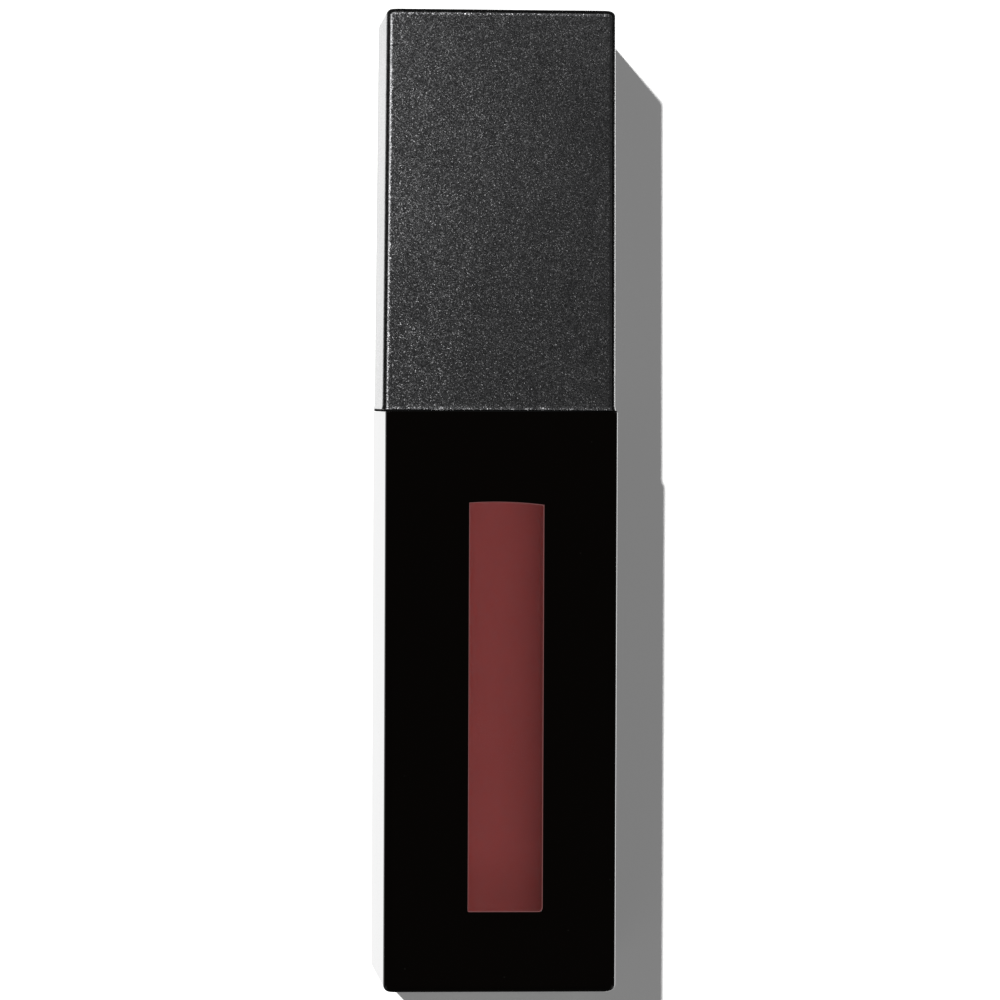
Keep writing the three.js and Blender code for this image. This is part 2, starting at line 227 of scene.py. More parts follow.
# %% Dust group
dust_group, given, result = new_group(
    "dust",
    {"Specks per Metre": 500.0, "Size": 0.05},
    {"Mask": "NodeSocketFloat"},
)
place = add(dust_group, "ShaderNodeTexCoord").outputs["Object"]
specks = add(dust_group, "ShaderNodeTexVoronoi", {"Vector": place, "Scale": given["Specks per Metre"]})
mask = maths(dust_group, "LESS_THAN", specks.outputs["Distance"], given["Size"])
dust_group.links.new(mask, result["Mask"])
print("Node group:", dust_group.name)

# %% [markdown]
# ## The cap's finish
# The cap is sprayed with a gunmetal lacquer: fine metal flake under a clear coat. The flake group bends the
# normal of each cell, so the light breaks up into grain that is coarse and bright near the light and calm
# away from it. The cells' own tone makes some flakes darker than others. Where the wall turns from one flat
# side to the next, the flake gives way to plain black with no metal and no coat: painted shade, a dark edge
# that the lights alone don't give. `squareness` is 1 on a flat side and falls to 0.7 in the middle of a
# rounded edge.

# %% Gunmetal lacquer
gunmetal, tree, shader = new_finish(
    "gunmetal_lacquer",
    (0.16, 0.16, 0.165, 1),
    0.4,
    Metallic=0.9,
    Coat_Weight=0.52,
    Coat_Roughness=0.12,
)
shader.inputs["Specular IOR Level"].default_value = 0.12
flake = use_group(tree, flake_group, Cells_per_Metre=15000.0, Tilt=0.38)
grain = mixed(tree, flake["Tone"], (0.08, 0.081, 0.085, 1), (0.26, 0.26, 0.264, 1))
facing = add(tree, "ShaderNodeNewGeometry").outputs["Normal"]
facing = add(
    tree,
    "ShaderNodeVectorTransform",
    {"Vector": facing},
    vector_type="NORMAL",
    convert_from="WORLD",
    convert_to="OBJECT",
).outputs[0]
sides = add(tree, "ShaderNodeSeparateXYZ", {"Vector": facing}).outputs
squareness = maths(tree, "ABSOLUTE", sides["X"])
squareness = maths(tree, "MAXIMUM", squareness, maths(tree, "ABSOLUTE", sides["Y"]))
squareness = maths(tree, "MAXIMUM", squareness, maths(tree, "ABSOLUTE", sides["Z"]))
# Painted shade: on the rounded edges the colour turns near black, and the metal and the coat fall away.
flat_outside_edge_shade = spread(tree, squareness, 0.0, 1.0, 0.87, 0.94)
painted(tree, shader, flat_outside_edge_shade, (0.004, 0.004, 0.004, 1), grain)
tree.links.new(maths(tree, "MULTIPLY", flat_outside_edge_shade, 0.9), shader.inputs["Metallic"])
tree.links.new(maths(tree, "MULTIPLY", flat_outside_edge_shade, 0.52), shader.inputs["Coat Weight"])
tree.links.new(flake["Normal"], shader.inputs["Normal"])
handled(tree, shader, clouds=140.0, low=0.29, high=0.34)

# %% [markdown]
# ## The bottle's finish
# The bottle is deep black, polished plastic. Black gloss is mostly reflection, so the colour stays almost
# black, and the handling group keeps the gloss from looking computed. A few specks of dust lie on it.

# %% Black gloss
black_gloss, tree, shader = new_finish("black_gloss", (0.0009, 0.0006, 0.0004, 1), 0.05, IOR=1.5)
handled(tree, shader, clouds=160.0, low=0.03, high=0.06)
dust = use_group(tree, dust_group, Specks_per_Metre=520.0, Size=0.03)
painted(tree, shader, dust["Mask"], (0.0009, 0.0006, 0.0004, 1), (0.006, 0.0055, 0.005, 1))

# %% [markdown]
# ## Clear plastic
# The window pane and the vial are clear polished plastic. A Principled shader with full transmission bends
# what is seen through it. For shadow rays it turns into a Transparent shader, so the light reaches the
# colour behind it without the slow work of tracing it through glass.

# %% Clear plastic
clear, tree, shader = new_finish("clear_plastic", (0.985, 0.985, 0.985, 1), 0.02, IOR=1.49)
shader.inputs["Transmission Weight"].default_value = 1.0
handled(tree, shader, clouds=150.0, low=0.015, high=0.04)
through = add(tree, "ShaderNodeBsdfTransparent", {"Color": (0.96, 0.96, 0.96, 1)})
ray = add(tree, "ShaderNodeLightPath").outputs["Is Shadow Ray"]
blended(tree, ray, shader, through)

# %% [markdown]
# ## The product
# The colour is a dusty rose-brown liquid with a satin body. Light goes a little way into it before it comes
# out, so it has some subsurface. Slow noise streaks it very slightly, as pigment does near a wall.

# %% Lip colour
lip_colour, tree, shader = new_finish(
    "lip_colour", (0.171, 0.038, 0.036, 1), 0.45, Subsurface_Weight=0.6, Subsurface_Scale=0.0015
)
shader.inputs["Specular IOR Level"].default_value = 0
shader.inputs["Subsurface Radius"].default_value = (1.0, 0.2, 0.16)
place = add(tree, "ShaderNodeTexCoord").outputs["Object"]
streaks = object_noise(tree, scale=260.0, detail=3.0)
streaked = mixed(tree, streaks, (0.170, 0.0362, 0.0352, 1), (0.190, 0.0405, 0.0394, 1))
# The colour grows darker towards the bottom of the chamber: it starts to darken below 12 mm and is fully dark
# from 8.5 mm down.
height = add(tree, "ShaderNodeSeparateXYZ", {"Vector": place}).outputs["Z"]
lower_darkening = spread(tree, height, 1.0, 0.0, 0.0085, 0.012)
painted(tree, shader, lower_darkening, streaked, (0.152, 0.0325, 0.0312, 1))

# %% [markdown]
# ## The hidden parts' finishes
# With the cap off, six more finishes show. The wiper is a natural, slightly milky plastic. The inner cap and
# the rod are black plastic with a satin moulded skin. The sealing liner is white foam with fine cells. The
# label is plain paper film. The flock is short nylon fibre, stained by the product, in lighter and darker
# clumps.

# %% Natural plastic
natural_plastic, tree, shader = new_finish(
    "natural_plastic", (0.75, 0.72, 0.66, 1), 0.45, Subsurface_Weight=0.3, Subsurface_Scale=0.0006
)
handled(tree, shader, clouds=300.0, low=0.38, high=0.52)
flow = object_noise(tree, scale=400.0, detail=3.0)
painted(tree, shader, flow, (0.72, 0.69, 0.62, 1), (0.78, 0.75, 0.69, 1))

# %% Black satin plastic
satin_black, tree, shader = new_finish("satin_black", (0.008, 0.008, 0.008, 1), 0.4)
handled(tree, shader, clouds=250.0, low=0.32, high=0.46)
skin_grain = object_noise(tree, scale=9000.0, detail=1.0)
bumped(tree, shader, skin_grain, strength=0.15, distance=0.00002)

# %% Foam
foam, tree, shader = new_finish("white_foam", (0.85, 0.85, 0.83, 1), 0.85)
place = add(tree, "ShaderNodeTexCoord").outputs["Object"]
cells = add(tree, "ShaderNodeTexVoronoi", {"Vector": place, "Scale": 6000.0})
bumped(tree, shader, cells.outputs["Distance"], strength=0.5, distance=0.00005)
painted(tree, shader, cells.outputs["Distance"], (0.8, 0.8, 0.78, 1), (0.88, 0.88, 0.86, 1))

# %% Soft core
soft_core, tree, shader = new_finish("soft_core", (0.78, 0.72, 0.66, 1), 0.6, Subsurface_Weight=0.2)
shader.inputs["Subsurface Scale"].default_value = 0.0005
handled(tree, shader, clouds=400.0, low=0.5, high=0.65)
flow = object_noise(tree, scale=900.0, detail=2.0)
painted(tree, shader, flow, (0.74, 0.68, 0.61, 1), (0.8, 0.75, 0.7, 1))

# %% Flock
flock, tree, shader = new_finish("flock", (0.2, 0.06, 0.055, 1), 0.8, Sheen_Weight=0.4, Sheen_Roughness=0.4)
clumps = object_noise(tree, scale=1800.0, detail=2.0)
painted(tree, shader, clumps, (0.13, 0.028, 0.027, 1), (0.24, 0.075, 0.068, 1))

# %% Label film
label_film, tree, shader = new_finish("label_film", (0.85, 0.85, 0.84, 1), 0.6)
fibres = object_noise(tree, scale=2500.0, detail=3.0)
painted(tree, shader, fibres, (0.8, 0.8, 0.785, 1), (0.88, 0.88, 0.87, 1))
bumped(tree, shader, fibres, strength=0.2, distance=0.00002)

# %% [markdown]
# ## Small helpers for meshes
# Almost every part of the tube is a stack of outlines skinned into one closed wall: a rounded square, an
# oval or a circle at each height. `skin` joins such rings. An outline runs anticlockwise seen from above, so
# the faces point outwards while the stack goes up, and into the cavity when it comes down again inside.

# %% Mesh helpers
CORNER_STEPS = 10
EDGE_STEPS = 8
ROUND_STEPS = 4


def square_ring(half, radius, height):
    """A square outline with rounded corners, anticlockwise from above."""
    centre = half - radius
    points = []
    for quarter in range(4):
        across = centre * (1, -1, -1, 1)[quarter]
        along = centre * (1, 1, -1, -1)[quarter]
        for step in range(CORNER_STEPS + 1):
            angle = (quarter + step / CORNER_STEPS) * math.pi / 2
            points.append((across + radius * math.cos(angle), along + radius * math.sin(angle), height))
    return points


def skin(name, rings, closed=False):
    """Rings skinned into a mesh: with a flat lid at each end, or closed on itself like a tyre."""
    build = bmesh.new()
    loops = [[build.verts.new(point) for point in ring] for ring in rings]
    pairs = list(zip(loops, loops[1:]))
    if closed:
        pairs.append((loops[-1], loops[0]))
    for low, high in pairs:
        for place in range(len(low)):
            after = (place + 1) % len(low)
            build.faces.new((low[place], low[after], high[after], high[place]))
    if not closed:
        build.faces.new(reversed(loops[0]))
        build.faces.new(loops[-1])
    bmesh.ops.remove_doubles(build, verts=build.verts, dist=1e-7)
    mesh = bpy.data.meshes.new(name)
    build.to_mesh(mesh)
    build.free()
    return mesh


def quarter_round(height, half, radius, head=True):
    """Heights and half widths of a rounded edge, going up: at the head of a column or at its foot."""
    levels = []
    for step in range(EDGE_STEPS + 1):
        angle = step / EDGE_STEPS * math.pi / 2
        if head:
            levels.append((height - radius * (1 - math.sin(angle)), half - radius * (1 - math.cos(angle))))
        else:
            levels.append((height + radius * (1 - math.cos(angle)), half - radius * (1 - math.sin(angle))))
    return levels


def new_piece(name, mesh, finish, body, slot, *stands_for, sharp=40):
    """An object for a mesh, shaded smooth up to an angle, that rides on a body and stands for CAD nodes."""
    piece = bpy.data.objects.new(name, mesh)
    bpy.context.scene.collection.objects.link(piece)
    mesh.materials.clear()
    mesh.materials.append(finish)
    mesh.polygons.foreach_set("use_smooth", [True] * len(mesh.polygons))
    mesh.set_sharp_from_angle(angle=math.radians(sharp))
    even = piece.modifiers.new("even_shading", "WEIGHTED_NORMAL")
    even.keep_sharp = True
    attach(piece, body)
    if stands_for:
        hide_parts(*stands_for)
    print(name, len(mesh.polygons), "faces")
    return piece


def settled_mesh(thing):
    """The mesh of an object after its modifiers, as a new mesh."""
    seen = thing.evaluated_get(bpy.context.evaluated_depsgraph_get())
    return bpy.data.meshes.new_from_object(seen)


def cut(mesh, cutter, operation="DIFFERENCE"):
    """One mesh cut by another, or joined to it, as a new mesh."""
    kept = bpy.data.objects.new("kept", mesh)
    tool = bpy.data.objects.new("tool", cutter)
    for thing in (kept, tool):
        bpy.context.scene.collection.objects.link(thing)
    step = kept.modifiers.new("step", "BOOLEAN")
    step.operation = operation
    step.solver = "EXACT"
    step.object = tool
    made = settled_mesh(kept)
    for thing in (kept, tool):
        bpy.data.objects.remove(thing)
    return made


# %% [markdown]
# ## The cap shell
# A thin-walled square box, open below, with small rounded edges: 0.6 mm along its length and round its top.
# Each side tapers by about 0.15 mm, so that the cap leaves its mould, and its mouth has a fine bright lip
# that turns out by a hair. The same stack of squares goes up outside and down again inside. Both outer
# shells are 0.05 mm proud of the CAD boxes, and the cap 0.02 mm more, for their finish. A screw cap seldom
# stops quite square on its bottle, so the cap's mesh is twisted by a degree and leaned a little, about its
# top.

# %% Build the cap shell
cap_low, cap_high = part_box("cap_shell")
CAP_WALL = 1.1 * MM
CAP_DRAFT = 0.155 * MM
CAP_TOP_WALL = 1.5 * MM
SHELL_GROWTH = 0.05 * MM
CAP_EXTRA = 0.02 * MM
CAP_RAISE = 0.02 * MM
CAP_EDGE = 0.6 * MM
INNER_CORNER = 0.8 * MM
CAP_TOP = Vector((0, 0, cap_high.z))
CAP_TWIST = Matrix.Rotation(math.radians(-1.05), 4, "Z")
CAP_LEAN = Matrix.Rotation(math.radians(0.12), 4, "Y")
CAP_SEAT = Matrix.Translation(CAP_TOP) @ CAP_LEAN @ CAP_TWIST @ Matrix.Translation(-CAP_TOP)

mouth_half = cap_high.x + SHELL_GROWTH + CAP_EXTRA
top_half = mouth_half - CAP_DRAFT
mouth = cap_low.z + CAP_RAISE
lip_steps = (
    (0.0, 0.02),
    (0.015, 0.078),
    (0.05, 0.078),
    (0.12, 0.055),
    (0.19, 0.036),
    (0.28, 0.02),
    (0.38, 0.01),
    (0.6, 0.004),
)
cap_levels = [(mouth + rise * MM, mouth_half + out * MM) for rise, out in lip_steps]
cap_levels += quarter_round(cap_high.z, top_half, CAP_EDGE)
rings = [square_ring(half, CAP_EDGE, height) for height, half in cap_levels]
hollow_mouth = square_ring(mouth_half - CAP_WALL, INNER_CORNER, mouth)
hollow_end = square_ring(top_half - CAP_WALL, INNER_CORNER, cap_high.z - CAP_TOP_WALL)
cap_mesh = skin("cap_shell", [hollow_end, hollow_mouth] + rings)
cap_mesh.transform(CAP_SEAT)
cap = new_piece("cap_shell_visual", cap_mesh, gunmetal, "cap", "gunmetal", "cap_shell")

# %% [markdown]
# ## The bottle sleeve
# A square black case, closed at the base, with a shallow recess for a label under it. A tall slot in its
# front wall shows the product. The slot's top edge is gently arched, its lower corners are rounded, the right
# one more than the left, and its rim has a fine rounding that catches the light. Skinning makes the case, and
# one cut makes the slot. `FIT_GAP` is the gap that is left between two parts that fit together.

# %% Build the bottle sleeve
sleeve_low, sleeve_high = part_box("bottle_sleeve")
lens_low, lens_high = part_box("window_lens")
label_low, label_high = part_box("base_label")
FIT_GAP = 0.05 * MM
LONG_EDGE = 0.4 * MM
SLEEVE_WALL = 1.0 * MM
SLEEVE_FLOOR = 1.5 * MM
HEEL_RADIUS = 0.7 * MM
RIM_RADIUS = 0.1 * MM
RECESS_CORNER = 0.1 * MM
RECESS_HALF = label_high.x + FIT_GAP
RECESS_TOP = label_high.z + 0.025 * MM

bottle_half = sleeve_high.x + SHELL_GROWTH
inner_half = sleeve_high.x - SLEEVE_WALL
levels = quarter_round(0, bottle_half, HEEL_RADIUS, head=False)
levels += quarter_round(sleeve_high.z, bottle_half, RIM_RADIUS)
sleeve_rings = [
    square_ring(RECESS_HALF, RECESS_CORNER, RECESS_TOP),
    square_ring(RECESS_HALF, RECESS_CORNER, 0),
]
sleeve_rings += [square_ring(half, LONG_EDGE, height) for height, half in levels]
sleeve_rings += [
    square_ring(inner_half, INNER_CORNER, sleeve_high.z),
    square_ring(inner_half, INNER_CORNER, SLEEVE_FLOOR),
]
sleeve_mesh = skin("bottle_sleeve", sleeve_rings)

# %% Cut the window's slot
SLOT_GAP = 0.03 * MM
FOOT_RAISE = 0.12 * MM
LEFT_CORNER = 0.15 * MM
RIGHT_CORNER = 0.38 * MM
ARCH_RISE = 0.16 * MM
ARCH_CROWN = 0.28
ARCH_STEPS = 24


def window_outline(grow, depth):
    """The slot's outline at one depth: a flat foot with rounded corners, and a gently arched head."""
    middle = (lens_low.x + lens_high.x) / 2
    half = (lens_high.x - lens_low.x) / 2 + SLOT_GAP + grow
    foot = lens_low.z - SLOT_GAP - grow + FOOT_RAISE
    head = lens_high.z + SLOT_GAP + grow
    points = []
    for start, side, rounding in ((math.pi, -1, LEFT_CORNER), (1.5 * math.pi, 1, RIGHT_CORNER)):
        corner = rounding + grow
        for step in range(CORNER_STEPS + 1):
            angle = start + step / CORNER_STEPS * math.pi / 2
            x = middle + side * (half - corner) + corner * math.cos(angle)
            points.append((x, depth, foot + corner + corner * math.sin(angle)))
    for step in range(ARCH_STEPS + 1):
        across = 1 - 2 * step / ARCH_STEPS
        points.append((middle + half * across, depth, head - ARCH_RISE * (across + ARCH_CROWN) ** 2))
    return points[::-1]


RIM_ROUND = 0.03 * MM
SLOT_BEFORE = 1 * MM
SLOT_BEHIND = 1.5 * MM
front = -bottle_half
slot_rings = [window_outline(RIM_ROUND, front - SLOT_BEFORE)]
for step in range(ROUND_STEPS + 1):
    angle = step / ROUND_STEPS * math.pi / 2
    slot_rings.append(
        window_outline(RIM_ROUND * (1 - math.sin(angle)), front + RIM_ROUND * (1 - math.cos(angle)))
    )
slot_rings.append(window_outline(0, front + SLOT_BEHIND))
slot_cutter = skin("slot_cutter", slot_rings)
sleeve_mesh = cut(sleeve_mesh, slot_cutter)
new_piece("bottle_sleeve_visual", sleeve_mesh, black_gloss, "bottle", "black_gloss", "bottle_sleeve")

# %% [markdown]
# ## The joint's painted shadow
# A thin matt black ring lies on the sleeve's top edge, where the cap comes down. It is painted shadow: the
# real tube has only a dark gap there. It is a little narrower than the sleeve, so the joint between cap and
# bottle reads as a fine dark line.

# %% Painted shadow finish for the joint
# A near black matt finish: painted shadow for the gap under the cap.
joint_shadow_black, tree, shader = new_finish("joint_shadow_black", (0.004, 0.004, 0.004, 1), 0.9)
shader.inputs["Specular IOR Level"].default_value = 0
shadow_ring_noise = object_noise(tree, scale=5000.0, detail=1.0)
painted(tree, shader, shadow_ring_noise, (0.002, 0.002, 0.002, 1), (0.006, 0.006, 0.006, 1))

# %% Build the painted shadow ring
SHADOW_RING_HEIGHT = 0.115 * MM
SHADOW_RING_INSET = 0.06 * MM
shadow_ring_half = bottle_half - SHADOW_RING_INSET
shadow_ring_top = sleeve_high.z + SHADOW_RING_HEIGHT
shadow_ring_rings = [
    square_ring(inner_half, INNER_CORNER, sleeve_high.z),
    square_ring(shadow_ring_half, LONG_EDGE, sleeve_high.z),
    square_ring(shadow_ring_half, LONG_EDGE, shadow_ring_top),
    square_ring(inner_half, INNER_CORNER, shadow_ring_top),
]
# This ring is painted shadow, a dark sheet where the real joint has only a dark gap.
shadow_ring_mesh = skin("joint_shadow_ring", shadow_ring_rings, closed=True)
new_piece("joint_shadow_ring", shadow_ring_mesh, joint_shadow_black, "bottle", "black_plastic")

# %% [markdown]
# ## The window pane
# A clear pane fills the slot, held by a thin bead of glue all round. The bead is opaque, with a painted rose
# colour that stands for the product and the scattered light seen in a clear glue edge. The lamps light it,
# so it draws a fine pale line round the window.

# %% Build the window pane
BEAD_WIDTH = 0.075 * MM
PANE_ROUND = 0.03 * MM
pane_rings = []
for step in range(ROUND_STEPS + 1):
    angle = step / ROUND_STEPS * math.pi / 2
    shrink = -BEAD_WIDTH - PANE_ROUND * (1 - math.sin(angle))
    pane_rings.append(window_outline(shrink, lens_low.y + PANE_ROUND * (1 - math.cos(angle))))
pane_rings.append(window_outline(-BEAD_WIDTH, lens_high.y))
pane_mesh = skin("window_pane", pane_rings)
pane = new_piece("window_pane", pane_mesh, clear, "bottle", "clear", "window_lens")

# %% Bead finish, painted with the colour seen through it
# Painted see-through colour: the opaque bead takes a rose tone that stands for the product and the light
# scattered in clear glue.
bead_painted_see_through, tree, shader = new_finish("glue_bead_painted_see_through", (0.14, 0.05, 0.05, 1), 0.5)
shader.inputs["Specular IOR Level"].default_value = 0.2
flow = object_noise(tree, scale=500.0, detail=2.0)
painted(tree, shader, flow, (0.11, 0.033, 0.033, 1), (0.135, 0.047, 0.046, 1))

# %% Build the bead
BEAD_GAP = 0.005 * MM
BEAD_PROUD = 0.01 * MM
BEAD_DEPTH = 0.12 * MM
bead_front = lens_low.y - BEAD_PROUD
bead_back = lens_low.y + BEAD_DEPTH
bead_rings = [
    window_outline(-BEAD_GAP, bead_front),
    window_outline(-BEAD_GAP, bead_back),
    window_outline(BEAD_GAP - BEAD_WIDTH, bead_back),
    window_outline(BEAD_GAP - BEAD_WIDTH, bead_front),
]
bead_mesh = skin("window_bead", bead_rings, closed=True)
new_piece("window_bead", bead_mesh, bead_painted_see_through, "bottle", "clear")

# %% [markdown]
# ## Round and oval outlines
# The vial is an oval: two half circles, moved apart. With no spread the same outline is a circle, so one
# stack of rings can go from the oval body to the round neck. `softened` takes the sharp corners off a
# profile before it is turned, as every moulded part has a small radius at each corner.

# %% Round and oval helpers
HALF_STEPS = 36


def oval_ring(radius, spread, height):
    """Two half circles moved apart along Y, anticlockwise from above."""
    points = []
    for start, offset in ((0, spread), (math.pi, -spread)):
        for step in range(HALF_STEPS + 1):
            angle = start + step / HALF_STEPS * math.pi
            points.append((radius * math.cos(angle), offset + radius * math.sin(angle), height))
    return points


def softened(profile, radius, closed=True):
    """A profile of (radius, height) points with each corner rounded."""
    count = len(profile)
    points = []
    for place in range(count):
        corner = Vector(profile[place])
        if not closed and place in (0, count - 1):
            points.append(tuple(corner))
            continue
        before = Vector(profile[place - 1]) - corner
        after = Vector(profile[(place + 1) % count]) - corner
        reach = min(radius, before.length * 0.45, after.length * 0.45)
        start = corner + before.normalized() * reach
        end = corner + after.normalized() * reach
        for step in range(ROUND_STEPS + 1):
            t = step / ROUND_STEPS
            points.append(tuple(start * (1 - t) ** 2 + corner * 2 * t * (1 - t) + end * t * t))
    return points


def turned(name, profile, closed=True):
    """A profile turned about the tube's axis."""
    return skin(name, [oval_ring(radius, 0, height) for radius, height in profile], closed)


# %% [markdown]
# ## Geometry Nodes for the threads and the ribs
# A screw thread is a ridge that follows a helix, and the ribs of the inner cap stand round the axis. Both
# repeat by a rule, so both are Geometry Nodes trees with their sizes as named inputs. The tree welds the
# ridge to the part that comes in. The result becomes a plain mesh before anything else is done with it.

# %% Geometry Nodes helpers
def new_tree(name, inputs):
    """An empty Geometry Nodes tree with number inputs and a Material input."""
    tree = bpy.data.node_groups.new(name, "GeometryNodeTree")
    tree.interface.new_socket("Geometry", in_out="INPUT", socket_type="NodeSocketGeometry")
    tree.interface.new_socket("Geometry", in_out="OUTPUT", socket_type="NodeSocketGeometry")
    for label in inputs:
        tree.interface.new_socket(label, in_out="INPUT", socket_type="NodeSocketFloat")
    tree.interface.new_socket("Material", in_out="INPUT", socket_type="NodeSocketMaterial")
    return tree, tree.nodes.new("NodeGroupInput").outputs


def close_tree(tree, geometry, given):
    """Realize Instances and Set Material at the end of a tree."""
    real = add(tree, "GeometryNodeRealizeInstances", {"Geometry": geometry}).outputs[0]
    dressed = add(tree, "GeometryNodeSetMaterial", {"Geometry": real, "Material": given["Material"]})
    end = tree.nodes.new("NodeGroupOutput")
    tree.links.new(dressed.outputs[0], end.inputs[0])


def grown(mesh, tree, finish, **values):
    """What a Geometry Nodes tree makes of a mesh, as a new plain mesh."""
    holder = bpy.data.objects.new("holder", mesh)
    bpy.context.scene.collection.objects.link(holder)
    step = holder.modifiers.new("step", "NODES")
    step.node_group = tree
    sockets = {item.name: item.identifier for item in tree.interface.items_tree if item.in_out == "INPUT"}
    step[sockets["Material"]] = finish
    for name, value in values.items():
        step[sockets[name.replace("_", " ")]] = value
    made = settled_mesh(holder)
    bpy.data.objects.remove(holder)
    print(tree.name, "made", len(made.polygons), "faces")
    return made


# %% Thread tree
THREAD_PITCH = 3.175 * MM
THREAD_TURNS = 1.25
THREAD_RIDGE = 0.7 * MM
THREAD_START = 3.2 * MM
THREAD_GAP = 0.1 * MM

thread_tree, given = new_tree("thread", ["Helix Radius", "Bottom", "Pitch", "Turns", "Ridge Radius"])
line = add(thread_tree, "GeometryNodeCurvePrimitiveLine", {"End": (0.0, 0.0, 1.0)}).outputs[0]
line = add(thread_tree, "GeometryNodeResampleCurve", {"Curve": line, "Count": 120}).outputs[0]
along = add(thread_tree, "GeometryNodeSplineParameter").outputs["Factor"]
turn = maths(thread_tree, "MULTIPLY", along, given["Turns"])
angle = maths(thread_tree, "MULTIPLY", turn, 2 * math.pi)
across = maths(thread_tree, "MULTIPLY", maths(thread_tree, "COSINE", angle), given["Helix Radius"])
depth = maths(thread_tree, "MULTIPLY", maths(thread_tree, "SINE", angle), given["Helix Radius"])
height = maths(thread_tree, "MULTIPLY_ADD", turn, given["Pitch"], given["Bottom"])
helix = add(thread_tree, "ShaderNodeCombineXYZ", {"X": across, "Y": depth, "Z": height}).outputs[0]
curve = add(thread_tree, "GeometryNodeSetPosition", {"Geometry": line, "Position": helix}).outputs[0]
to_end = maths(thread_tree, "SUBTRACT", 1.0, along)
run_out = maths(thread_tree, "MULTIPLY", maths(thread_tree, "MINIMUM", along, to_end), 12.0)
thickness = spread(thread_tree, run_out, 0.35, 1.0)
curve = add(thread_tree, "GeometryNodeSetCurveRadius", {"Curve": curve, "Radius": thickness}).outputs[0]
profile = add(
    thread_tree, "GeometryNodeCurvePrimitiveCircle", {"Resolution": 16, "Radius": given["Ridge Radius"]}
)
ridge = add(
    thread_tree,
    "GeometryNodeCurveToMesh",
    {"Curve": curve, "Profile Curve": profile.outputs[0], "Fill Caps": True},
).outputs[0]
weld = add(thread_tree, "GeometryNodeMeshBoolean", operation="UNION", solver="EXACT")
thread_tree.links.new(given["Geometry"], weld.inputs["Mesh 2"])
thread_tree.links.new(ridge, weld.inputs["Mesh 2"])
close_tree(thread_tree, weld.outputs[0], given)


def threaded(mesh, finish, helix_radius, bottom):
    """A part with its thread ridge."""
    sizes = {"Helix_Radius": helix_radius, "Bottom": bottom, "Ridge_Radius": THREAD_RIDGE}
    return grown(mesh, thread_tree, finish, Pitch=THREAD_PITCH, Turns=THREAD_TURNS, **sizes)


# %% Rib tree
rib_tree, given = new_tree("ribs", ["Count", "Inner Radius", "Outer Radius", "Bottom", "Top", "Thickness"])
length = maths(rib_tree, "SUBTRACT", given["Outer Radius"], given["Inner Radius"])
rise = maths(rib_tree, "SUBTRACT", given["Top"], given["Bottom"])
size = add(rib_tree, "ShaderNodeCombineXYZ", {"X": length, "Y": given["Thickness"], "Z": rise}).outputs[0]
block = add(rib_tree, "GeometryNodeMeshCube", {"Size": size}).outputs[0]
middle = maths(rib_tree, "MULTIPLY_ADD", length, 0.5, given["Inner Radius"])
level = maths(rib_tree, "MULTIPLY_ADD", rise, 0.5, given["Bottom"])
place = add(rib_tree, "ShaderNodeCombineXYZ", {"X": middle, "Z": level}).outputs[0]
block = add(rib_tree, "GeometryNodeTransform", {"Geometry": block, "Translation": place}).outputs[0]
points = add(rib_tree, "GeometryNodePoints", {"Count": given["Count"]}).outputs[0]
number = add(rib_tree, "GeometryNodeInputIndex").outputs[0]
step = maths(rib_tree, "DIVIDE", 2 * math.pi, given["Count"])
angle = maths(rib_tree, "MULTIPLY", number, step)
rotation = add(rib_tree, "ShaderNodeCombineXYZ", {"Z": angle}).outputs[0]
ribs = add(
    rib_tree,
    "GeometryNodeInstanceOnPoints",
    {"Points": points, "Instance": block, "Rotation": rotation},
).outputs[0]
ribs = add(rib_tree, "GeometryNodeRealizeInstances", {"Geometry": ribs}).outputs[0]
weld = add(rib_tree, "GeometryNodeMeshBoolean", operation="UNION", solver="EXACT")
rib_tree.links.new(given["Geometry"], weld.inputs["Mesh 2"])
rib_tree.links.new(ribs, weld.inputs["Mesh 2"])
close_tree(rib_tree, weld.outputs[0], given)

# %% [markdown]
# ## The vial
# A clear oval bottle stands in the sleeve and holds the product. Its neck is round and carries the thread.
# The rings go up the oval body, in over the shoulder, up the neck, and down again through the bore.

# %% Build the vial
vial_low, vial_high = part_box("vial")
VIAL_RADIUS = 5.6 * MM
CHAMBER_RADIUS = 4.6 * MM
NECK_BORE = 4.4 * MM
VIAL_ROOF = 1.3 * MM
VIAL_FLOOR = 1.6 * MM
VIAL_HEEL = 0.6 * MM
VIAL_SHOULDER = 0.5 * MM
CHAMBER_HEEL = 0.5 * MM
NECK_EDGE = 0.15 * MM

vial_spread = vial_high.y - VIAL_RADIUS
shoulder_low, shoulder_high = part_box("shoulder_plate")
vial_top = shoulder_low.z - FIT_GAP
chamber_low = vial_low.z + VIAL_FLOOR
chamber_high = vial_top - VIAL_ROOF
vial_rings = [
    oval_ring(radius, vial_spread, height)
    for height, radius in quarter_round(vial_low.z, VIAL_RADIUS, VIAL_HEEL, head=False)
]
vial_rings += [
    oval_ring(VIAL_RADIUS, reach, height)
    for height, reach in quarter_round(vial_top, vial_spread, VIAL_SHOULDER)
]
vial_rings.append(oval_ring(VIAL_RADIUS, 0, vial_top))
vial_rings += [
    oval_ring(radius, 0, height) for height, radius in quarter_round(vial_high.z, VIAL_RADIUS, NECK_EDGE)
]
vial_rings += [
    oval_ring(NECK_BORE, 0, vial_high.z),
    oval_ring(NECK_BORE, 0, chamber_high),
    oval_ring(CHAMBER_RADIUS, vial_spread, chamber_high),
]
vial_rings += [
    oval_ring(radius, vial_spread, height)
    for height, radius in reversed(quarter_round(chamber_low, CHAMBER_RADIUS, CHAMBER_HEEL, head=False))
]
vial_mesh = skin("vial", vial_rings)
